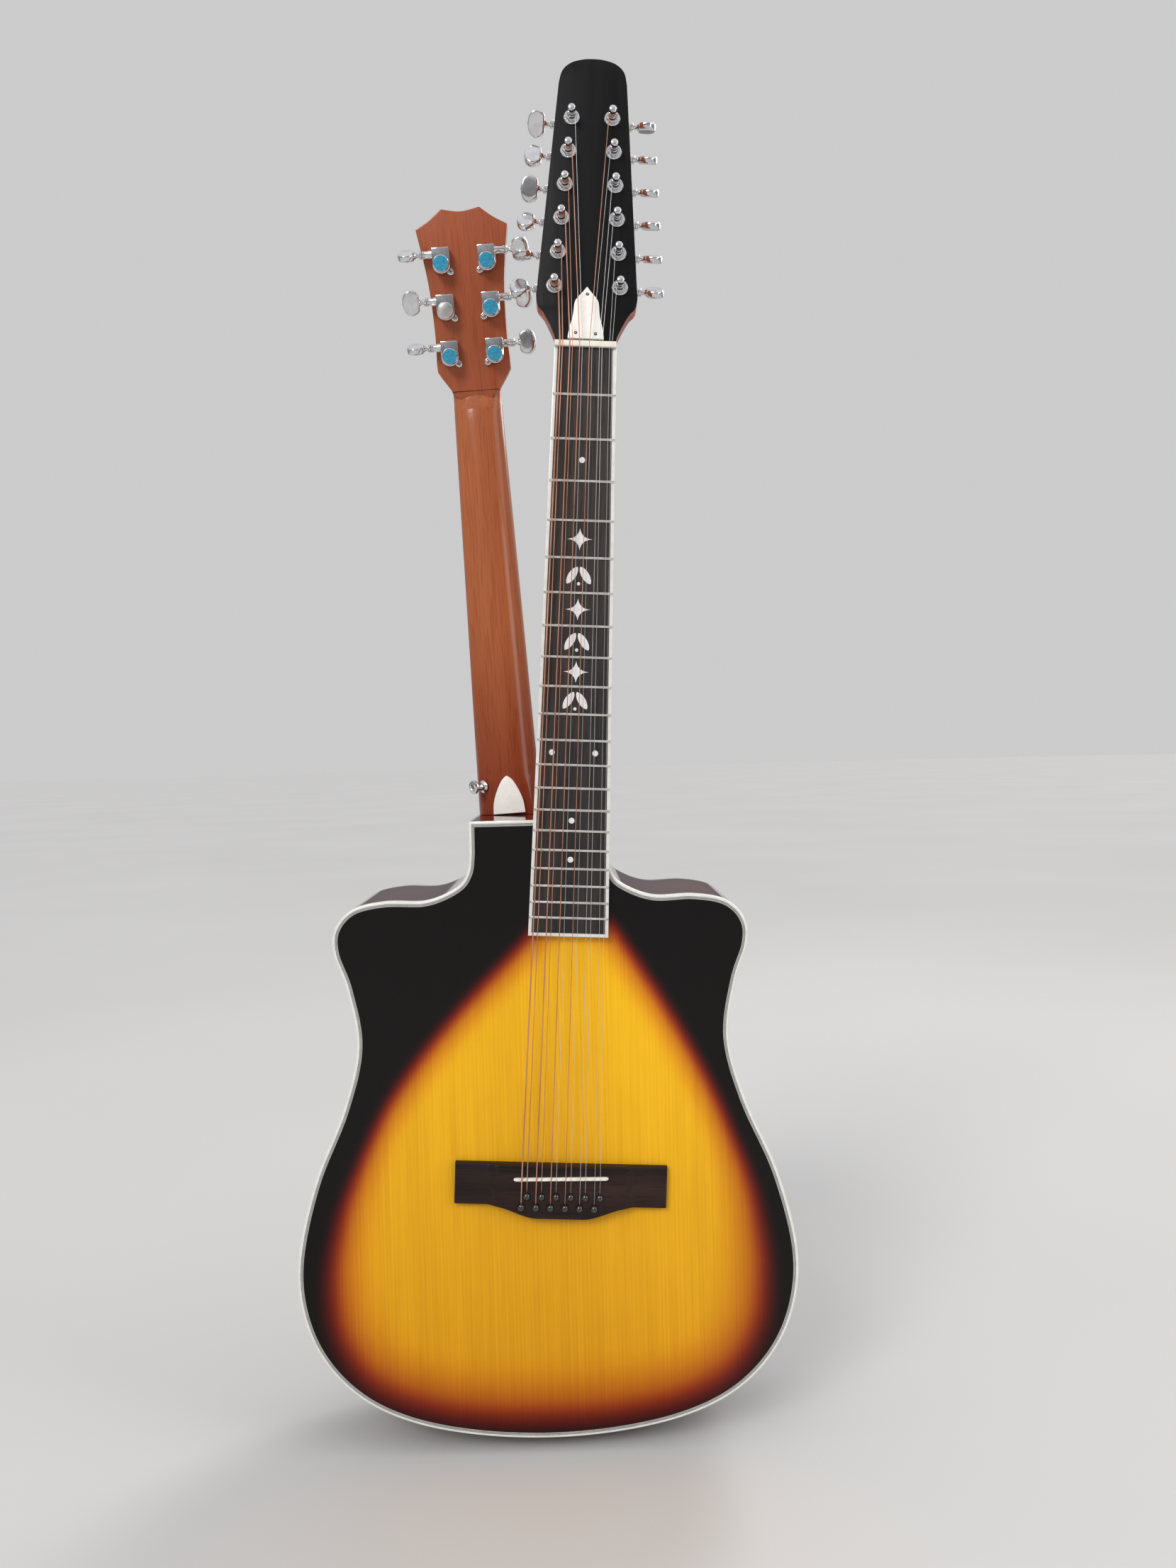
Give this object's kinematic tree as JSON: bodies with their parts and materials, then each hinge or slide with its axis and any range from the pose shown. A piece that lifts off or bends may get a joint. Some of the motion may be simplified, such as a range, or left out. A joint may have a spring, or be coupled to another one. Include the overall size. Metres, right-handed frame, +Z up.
{
  "type": "double-faced twelve-string bouzouki and guitar",
  "caption": "Plucked string instrument: hollow shouldered body with a bouzouki face and neck in front and a guitar face and neck behind, geared tuners on both heads.",
  "frame": {"origin": "centre of the tail strap button's end face, on the body's upright axis of symmetry", "axes": "+Z up along the body, towards the heads; -Y is the way the bouzouki's soundboard faces, +Y the way the guitar's faces; +X right, seen from the bouzouki's side"},
  "size_m": [0.3992, 0.1456, 1.1186],
  "materials": {
    "dark_ribs": "gloss lacquer over dark red-brown wood",
    "white_binding": "polished white",
    "sunburst_front": "gloss amber spruce shaded to black at the edge",
    "sunburst_rear": "gloss amber spruce shaded to black at the edge",
    "black_head_mahogany_neck": "satin, with a matt black head",
    "mahogany_neck": "satin orange-brown",
    "rosewood_board": "oiled, with bright frets",
    "rosewood_bridge": "oiled",
    "steel_and_bronze_strings": "wound bronze and plain steel",
    "white_heel_cap": "polished white",
    "white_rod_cover": "polished white",
    "chrome_keys": "mirror",
    "chrome_posts": "mirror",
    "chrome_housings": "mirror",
    "chrome_buttons": "mirror"
  },
  "bodies": {
    "instrument": {"body_binding": "white_binding", "body_sides": "dark_ribs", "bouzouki_bridge": "rosewood_bridge", "bouzouki_fingerboard": "rosewood_board", "bouzouki_neck": "black_head_mahogany_neck", "bouzouki_nut_and_strings": "steel_and_bronze_strings", "bouzouki_tuner_strip_left": "chrome_housings", "bouzouki_tuner_strip_right": "chrome_housings", "end_strap_button": "chrome_buttons", "front_soundboard": "sunburst_front", "guitar_bridge": "rosewood_bridge", "guitar_fingerboard": "rosewood_board", "guitar_heel_cap": "white_heel_cap", "guitar_neck": "mahogany_neck", "guitar_nut_and_strings": "steel_and_bronze_strings", "guitar_tuner_housing_left_1": "chrome_housings", "guitar_tuner_housing_left_2": "chrome_housings", "guitar_tuner_housing_left_3": "chrome_housings", "guitar_tuner_housing_right_1": "chrome_housings", "guitar_tuner_housing_right_2": "chrome_housings", "guitar_tuner_housing_right_3": "chrome_housings", "heel_strap_button": "chrome_buttons", "rear_soundboard": "sunburst_rear", "truss_rod_cover": "white_rod_cover"},
    "bouzouki_key_left_1_body": {"bouzouki_key_left_1": "chrome_keys"},
    "bouzouki_key_left_2_body": {"bouzouki_key_left_2": "chrome_keys"},
    "bouzouki_key_left_3_body": {"bouzouki_key_left_3": "chrome_keys"},
    "bouzouki_key_left_4_body": {"bouzouki_key_left_4": "chrome_keys"},
    "bouzouki_key_left_5_body": {"bouzouki_key_left_5": "chrome_keys"},
    "bouzouki_key_left_6_body": {"bouzouki_key_left_6": "chrome_keys"},
    "bouzouki_key_right_1_body": {"bouzouki_key_right_1": "chrome_keys"},
    "bouzouki_key_right_2_body": {"bouzouki_key_right_2": "chrome_keys"},
    "bouzouki_key_right_3_body": {"bouzouki_key_right_3": "chrome_keys"},
    "bouzouki_key_right_4_body": {"bouzouki_key_right_4": "chrome_keys"},
    "bouzouki_key_right_5_body": {"bouzouki_key_right_5": "chrome_keys"},
    "bouzouki_key_right_6_body": {"bouzouki_key_right_6": "chrome_keys"},
    "bouzouki_post_left_1_body": {"bouzouki_post_left_1": "chrome_posts"},
    "bouzouki_post_left_2_body": {"bouzouki_post_left_2": "chrome_posts"},
    "bouzouki_post_left_3_body": {"bouzouki_post_left_3": "chrome_posts"},
    "bouzouki_post_left_4_body": {"bouzouki_post_left_4": "chrome_posts"},
    "bouzouki_post_left_5_body": {"bouzouki_post_left_5": "chrome_posts"},
    "bouzouki_post_left_6_body": {"bouzouki_post_left_6": "chrome_posts"},
    "bouzouki_post_right_1_body": {"bouzouki_post_right_1": "chrome_posts"},
    "bouzouki_post_right_2_body": {"bouzouki_post_right_2": "chrome_posts"},
    "bouzouki_post_right_3_body": {"bouzouki_post_right_3": "chrome_posts"},
    "bouzouki_post_right_4_body": {"bouzouki_post_right_4": "chrome_posts"},
    "bouzouki_post_right_5_body": {"bouzouki_post_right_5": "chrome_posts"},
    "bouzouki_post_right_6_body": {"bouzouki_post_right_6": "chrome_posts"},
    "guitar_key_left_1_body": {"guitar_key_left_1": "chrome_keys"},
    "guitar_key_left_2_body": {"guitar_key_left_2": "chrome_keys"},
    "guitar_key_left_3_body": {"guitar_key_left_3": "chrome_keys"},
    "guitar_key_right_1_body": {"guitar_key_right_1": "chrome_keys"},
    "guitar_key_right_2_body": {"guitar_key_right_2": "chrome_keys"},
    "guitar_key_right_3_body": {"guitar_key_right_3": "chrome_keys"},
    "guitar_post_left_1_body": {"guitar_post_left_1": "chrome_posts"},
    "guitar_post_left_2_body": {"guitar_post_left_2": "chrome_posts"},
    "guitar_post_left_3_body": {"guitar_post_left_3": "chrome_posts"},
    "guitar_post_right_1_body": {"guitar_post_right_1": "chrome_posts"},
    "guitar_post_right_2_body": {"guitar_post_right_2": "chrome_posts"},
    "guitar_post_right_3_body": {"guitar_post_right_3": "chrome_posts"}
  },
  "joints": [
    {"name": "bouzouki_key_left_1_turn", "type": "hinge", "parent": "instrument", "child": "bouzouki_key_left_1_body", "pos_m": [0.02401, -0.03331, 0.93271], "axis": [-0.9985, 0, 0.0541], "continuous": true},
    {"name": "bouzouki_key_left_2_turn", "type": "hinge", "parent": "instrument", "child": "bouzouki_key_left_2_body", "pos_m": [0.02744, -0.02933, 0.96089], "axis": [-0.9985, 0, 0.0541], "continuous": true},
    {"name": "bouzouki_key_left_3_turn", "type": "hinge", "parent": "instrument", "child": "bouzouki_key_left_3_body", "pos_m": [0.03087, -0.02535, 0.98906], "axis": [-0.9985, 0, 0.0541], "continuous": true},
    {"name": "bouzouki_key_left_4_turn", "type": "hinge", "parent": "instrument", "child": "bouzouki_key_left_4_body", "pos_m": [0.0343, -0.02137, 1.01724], "axis": [-0.9985, 0, 0.0541], "continuous": true},
    {"name": "bouzouki_key_left_5_turn", "type": "hinge", "parent": "instrument", "child": "bouzouki_key_left_5_body", "pos_m": [0.03773, -0.01739, 1.04542], "axis": [-0.9985, 0, 0.0541], "continuous": true},
    {"name": "bouzouki_key_left_6_turn", "type": "hinge", "parent": "instrument", "child": "bouzouki_key_left_6_body", "pos_m": [0.04115, -0.01341, 1.0736], "axis": [-0.9985, 0, 0.0541], "continuous": true},
    {"name": "bouzouki_key_right_1_turn", "type": "hinge", "parent": "instrument", "child": "bouzouki_key_right_1_body", "pos_m": [0.07553, -0.03331, 0.92992], "axis": [0.9985, 0, -0.0541], "continuous": true},
    {"name": "bouzouki_key_right_2_turn", "type": "hinge", "parent": "instrument", "child": "bouzouki_key_right_2_body", "pos_m": [0.07517, -0.02933, 0.9583], "axis": [0.9985, 0, -0.0541], "continuous": true},
    {"name": "bouzouki_key_right_3_turn", "type": "hinge", "parent": "instrument", "child": "bouzouki_key_right_3_body", "pos_m": [0.0748, -0.02535, 0.98668], "axis": [0.9985, 0, -0.0541], "continuous": true},
    {"name": "bouzouki_key_right_4_turn", "type": "hinge", "parent": "instrument", "child": "bouzouki_key_right_4_body", "pos_m": [0.07444, -0.02137, 1.01507], "axis": [0.9985, 0, -0.0541], "continuous": true},
    {"name": "bouzouki_key_right_5_turn", "type": "hinge", "parent": "instrument", "child": "bouzouki_key_right_5_body", "pos_m": [0.07407, -0.01739, 1.04345], "axis": [0.9985, 0, -0.0541], "continuous": true},
    {"name": "bouzouki_key_right_6_turn", "type": "hinge", "parent": "instrument", "child": "bouzouki_key_right_6_body", "pos_m": [0.07371, -0.01341, 1.07183], "axis": [0.9985, 0, -0.0541], "continuous": true},
    {"name": "bouzouki_post_left_1_turn", "type": "hinge", "parent": "instrument", "child": "bouzouki_post_left_1_body", "pos_m": [0.02372, -0.05476, 0.92735], "axis": [0.0075, -0.9903, 0.139], "continuous": true},
    {"name": "bouzouki_post_left_2_turn", "type": "hinge", "parent": "instrument", "child": "bouzouki_post_left_2_body", "pos_m": [0.02715, -0.05078, 0.95553], "axis": [0.0075, -0.9903, 0.139], "continuous": true},
    {"name": "bouzouki_post_left_3_turn", "type": "hinge", "parent": "instrument", "child": "bouzouki_post_left_3_body", "pos_m": [0.03058, -0.0468, 0.98371], "axis": [0.0075, -0.9903, 0.139], "continuous": true},
    {"name": "bouzouki_post_left_4_turn", "type": "hinge", "parent": "instrument", "child": "bouzouki_post_left_4_body", "pos_m": [0.03401, -0.04282, 1.01188], "axis": [0.0075, -0.9903, 0.139], "continuous": true},
    {"name": "bouzouki_post_left_5_turn", "type": "hinge", "parent": "instrument", "child": "bouzouki_post_left_5_body", "pos_m": [0.03744, -0.03884, 1.04006], "axis": [0.0075, -0.9903, 0.139], "continuous": true},
    {"name": "bouzouki_post_left_6_turn", "type": "hinge", "parent": "instrument", "child": "bouzouki_post_left_6_body", "pos_m": [0.04086, -0.03486, 1.06824], "axis": [0.0075, -0.9903, 0.139], "continuous": true},
    {"name": "bouzouki_post_right_1_turn", "type": "hinge", "parent": "instrument", "child": "bouzouki_post_right_1_body", "pos_m": [0.07524, -0.05476, 0.92456], "axis": [0.0075, -0.9903, 0.139], "continuous": true},
    {"name": "bouzouki_post_right_2_turn", "type": "hinge", "parent": "instrument", "child": "bouzouki_post_right_2_body", "pos_m": [0.07488, -0.05078, 0.95294], "axis": [0.0075, -0.9903, 0.139], "continuous": true},
    {"name": "bouzouki_post_right_3_turn", "type": "hinge", "parent": "instrument", "child": "bouzouki_post_right_3_body", "pos_m": [0.07451, -0.0468, 0.98133], "axis": [0.0075, -0.9903, 0.139], "continuous": true},
    {"name": "bouzouki_post_right_4_turn", "type": "hinge", "parent": "instrument", "child": "bouzouki_post_right_4_body", "pos_m": [0.07415, -0.04282, 1.00971], "axis": [0.0075, -0.9903, 0.139], "continuous": true},
    {"name": "bouzouki_post_right_5_turn", "type": "hinge", "parent": "instrument", "child": "bouzouki_post_right_5_body", "pos_m": [0.07378, -0.03884, 1.03809], "axis": [0.0075, -0.9903, 0.139], "continuous": true},
    {"name": "bouzouki_post_right_6_turn", "type": "hinge", "parent": "instrument", "child": "bouzouki_post_right_6_body", "pos_m": [0.07342, -0.03486, 1.06648], "axis": [0.0075, -0.9903, 0.139], "continuous": true},
    {"name": "guitar_key_left_1_turn", "type": "hinge", "parent": "instrument", "child": "guitar_key_left_1_body", "pos_m": [-0.02946, 0.03303, 0.91322], "axis": [0.9985, 0, 0.0541], "continuous": true},
    {"name": "guitar_key_left_2_turn", "type": "hinge", "parent": "instrument", "child": "guitar_key_left_2_body", "pos_m": [-0.03144, 0.02527, 0.94966], "axis": [0.9985, 0, 0.0541], "continuous": true},
    {"name": "guitar_key_left_3_turn", "type": "hinge", "parent": "instrument", "child": "guitar_key_left_3_body", "pos_m": [-0.03341, 0.01752, 0.98609], "axis": [0.9985, 0, 0.0541], "continuous": true},
    {"name": "guitar_key_right_1_turn", "type": "hinge", "parent": "instrument", "child": "guitar_key_right_1_body", "pos_m": [-0.06801, 0.03303, 0.91114], "axis": [-0.9985, 0, -0.0541], "continuous": true},
    {"name": "guitar_key_right_2_turn", "type": "hinge", "parent": "instrument", "child": "guitar_key_right_2_body", "pos_m": [-0.06998, 0.02527, 0.94757], "axis": [-0.9985, 0, -0.0541], "continuous": true},
    {"name": "guitar_key_right_3_turn", "type": "hinge", "parent": "instrument", "child": "guitar_key_right_3_body", "pos_m": [-0.07195, 0.01752, 0.984], "axis": [-0.9985, 0, -0.0541], "continuous": true},
    {"name": "guitar_post_left_1_turn", "type": "hinge", "parent": "instrument", "child": "guitar_post_left_1_body", "pos_m": [-0.02926, 0.05481, 0.90937], "axis": [-0.0112, 0.9781, 0.2076], "continuous": true},
    {"name": "guitar_post_left_2_turn", "type": "hinge", "parent": "instrument", "child": "guitar_post_left_2_body", "pos_m": [-0.03123, 0.04705, 0.94581], "axis": [-0.0112, 0.9781, 0.2076], "continuous": true},
    {"name": "guitar_post_left_3_turn", "type": "hinge", "parent": "instrument", "child": "guitar_post_left_3_body", "pos_m": [-0.0332, 0.0393, 0.98224], "axis": [-0.0112, 0.9781, 0.2076], "continuous": true},
    {"name": "guitar_post_right_1_turn", "type": "hinge", "parent": "instrument", "child": "guitar_post_right_1_body", "pos_m": [-0.0678, 0.05481, 0.90729], "axis": [-0.0112, 0.9781, 0.2076], "continuous": true},
    {"name": "guitar_post_right_2_turn", "type": "hinge", "parent": "instrument", "child": "guitar_post_right_2_body", "pos_m": [-0.06977, 0.04705, 0.94372], "axis": [-0.0112, 0.9781, 0.2076], "continuous": true},
    {"name": "guitar_post_right_3_turn", "type": "hinge", "parent": "instrument", "child": "guitar_post_right_3_body", "pos_m": [-0.07175, 0.0393, 0.98015], "axis": [-0.0112, 0.9781, 0.2076], "continuous": true}
  ],
  "couplings": [
    {"joint": "bouzouki_post_left_1_turn", "follows": "bouzouki_key_left_1_turn", "ratio": 0.071429},
    {"joint": "bouzouki_post_left_2_turn", "follows": "bouzouki_key_left_2_turn", "ratio": 0.071429},
    {"joint": "bouzouki_post_left_3_turn", "follows": "bouzouki_key_left_3_turn", "ratio": 0.071429},
    {"joint": "bouzouki_post_left_4_turn", "follows": "bouzouki_key_left_4_turn", "ratio": 0.071429},
    {"joint": "bouzouki_post_left_5_turn", "follows": "bouzouki_key_left_5_turn", "ratio": 0.071429},
    {"joint": "bouzouki_post_left_6_turn", "follows": "bouzouki_key_left_6_turn", "ratio": 0.071429},
    {"joint": "bouzouki_post_right_1_turn", "follows": "bouzouki_key_right_1_turn", "ratio": 0.071429},
    {"joint": "bouzouki_post_right_2_turn", "follows": "bouzouki_key_right_2_turn", "ratio": 0.071429},
    {"joint": "bouzouki_post_right_3_turn", "follows": "bouzouki_key_right_3_turn", "ratio": 0.071429},
    {"joint": "bouzouki_post_right_4_turn", "follows": "bouzouki_key_right_4_turn", "ratio": 0.071429},
    {"joint": "bouzouki_post_right_5_turn", "follows": "bouzouki_key_right_5_turn", "ratio": 0.071429},
    {"joint": "bouzouki_post_right_6_turn", "follows": "bouzouki_key_right_6_turn", "ratio": 0.071429},
    {"joint": "guitar_post_left_1_turn", "follows": "guitar_key_left_1_turn", "ratio": 0.071429},
    {"joint": "guitar_post_left_2_turn", "follows": "guitar_key_left_2_turn", "ratio": 0.071429},
    {"joint": "guitar_post_left_3_turn", "follows": "guitar_key_left_3_turn", "ratio": 0.071429},
    {"joint": "guitar_post_right_1_turn", "follows": "guitar_key_right_1_turn", "ratio": 0.071429},
    {"joint": "guitar_post_right_2_turn", "follows": "guitar_key_right_2_turn", "ratio": 0.071429},
    {"joint": "guitar_post_right_3_turn", "follows": "guitar_key_right_3_turn", "ratio": 0.071429}
  ]
}
